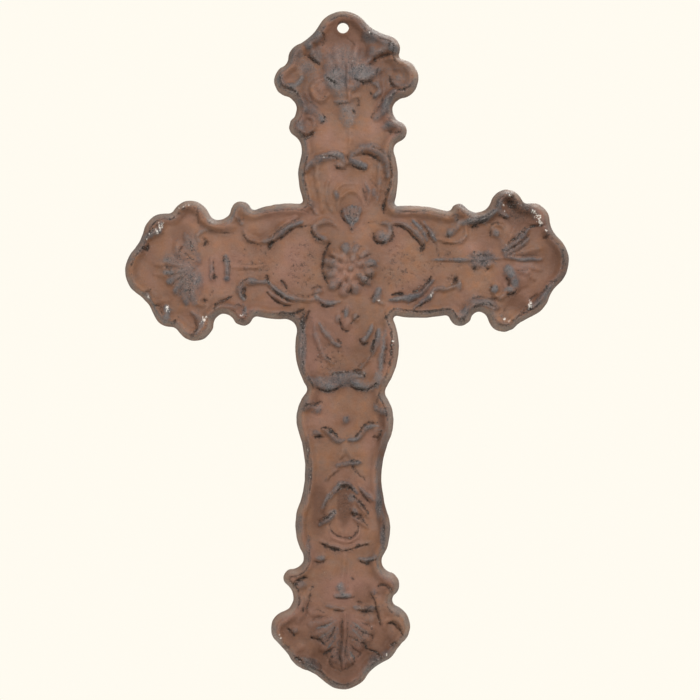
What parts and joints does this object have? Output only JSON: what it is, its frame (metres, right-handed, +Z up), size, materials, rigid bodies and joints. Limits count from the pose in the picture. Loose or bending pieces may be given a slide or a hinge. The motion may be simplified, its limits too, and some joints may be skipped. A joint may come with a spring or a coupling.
{
  "type": "ornamental wall cross",
  "caption": "Latin wall cross cast in iron, with scrolled lobed arm ends, leaf and rosette carving, and a nail hole in its top arm.",
  "frame": {"origin": "centre of the nail hole on the wall plane, which is the flat of the back", "axes": "+Z up along the foot and top arms, +X to the viewer's right along the side arms, +Y from the carved face to the wall; the carved face looks towards -Y"},
  "size_m": [0.2411, 0.0109, 0.3682],
  "materials": {
    "cast_iron": "matte rust-brown paint, worn to slate grey on the crests and dark in the hollows"
  },
  "bodies": {
    "root": {"cast_cross": "cast_iron"}
  },
  "joints": []
}
